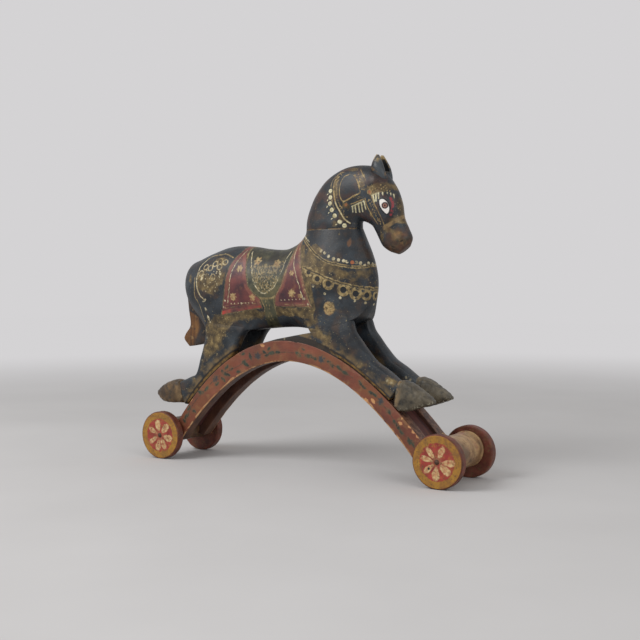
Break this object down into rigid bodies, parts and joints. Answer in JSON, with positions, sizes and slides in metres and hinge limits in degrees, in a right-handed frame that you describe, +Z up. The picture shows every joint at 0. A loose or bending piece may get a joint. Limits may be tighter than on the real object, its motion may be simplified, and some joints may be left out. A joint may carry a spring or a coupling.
{
  "type": "wheeled toy horse",
  "caption": "Carved and painted wooden horse at full gallop on an arched base of rails, rolling on round wheels that turn on iron nails in thick turned axle beams.",
  "frame": {"origin": "on the ground, midway between the two axle beams and between the left and right wheels", "axes": "+X the way the horse faces, +Y to the horse's left, +Z up"},
  "size_m": [0.672, 0.1442, 0.5531],
  "materials": {
    "body_paint": "hand painted blue-black with ochre and olive ornament, worn satin",
    "head_paint": "hand painted blue-black with gold straps and cream beads, worn satin",
    "hoof_paint": "olive-grey paint worn to brown wood",
    "tail_paint": "bare brown wood behind, dark paint in front",
    "rail_paint": "worn terracotta paint with a leaf garland",
    "well_paint": "dark maroon paint, matt",
    "beam_paint": "worn cream and ochre paint on turned wood",
    "wheel_paint": "yellow ring and red disc with cream petals, worn red-brown rim",
    "iron": "old wrought nail, dull",
    "peg_wood": "bare wood"
  },
  "bodies": {
    "horse_and_base": {"arch_rail_left": "rail_paint", "arch_rail_right": "rail_paint", "axle_pin_front_left": "iron", "axle_pin_front_right": "iron", "axle_pin_rear_left": "iron", "axle_pin_rear_right": "iron", "beam_dowels": "peg_wood", "ear_left": "head_paint", "ear_right": "head_paint", "foot_pegs": "peg_wood", "fore_hoof_left": "hoof_paint", "fore_hoof_right": "hoof_paint", "fore_leg_left": "body_paint", "fore_leg_right": "body_paint", "front_axle_beam": "beam_paint", "head_and_neck": "head_paint", "hind_hoof_left": "hoof_paint", "hind_hoof_right": "hoof_paint", "hind_leg_left": "body_paint", "hind_leg_right": "body_paint", "hip_dowels": "peg_wood", "hoof_dowels": "peg_wood", "neck_locking_peg": "peg_wood", "neck_tenon": "peg_wood", "rear_axle_beam": "beam_paint", "shoulder_dowels": "peg_wood", "tail": "tail_paint", "tail_peg": "peg_wood", "torso": "body_paint", "well_board": "well_paint"},
    "wheel_front_left_body": {"wheel_front_left": "wheel_paint"},
    "wheel_front_right_body": {"wheel_front_right": "wheel_paint"},
    "wheel_rear_left_body": {"wheel_rear_left": "wheel_paint"},
    "wheel_rear_right_body": {"wheel_rear_right": "wheel_paint"}
  },
  "joints": [
    {"name": "front_left_wheel_turn", "type": "hinge", "parent": "horse_and_base", "child": "wheel_front_left_body", "pos_m": [0.291, 0.06125, 0.045], "axis": [0, 1, 0], "continuous": true},
    {"name": "front_right_wheel_turn", "type": "hinge", "parent": "horse_and_base", "child": "wheel_front_right_body", "pos_m": [0.291, -0.06125, 0.045], "axis": [0, 1, 0], "continuous": true},
    {"name": "rear_left_wheel_turn", "type": "hinge", "parent": "horse_and_base", "child": "wheel_rear_left_body", "pos_m": [-0.291, 0.06125, 0.045], "axis": [0, 1, 0], "continuous": true},
    {"name": "rear_right_wheel_turn", "type": "hinge", "parent": "horse_and_base", "child": "wheel_rear_right_body", "pos_m": [-0.291, -0.06125, 0.045], "axis": [0, 1, 0], "continuous": true}
  ]
}
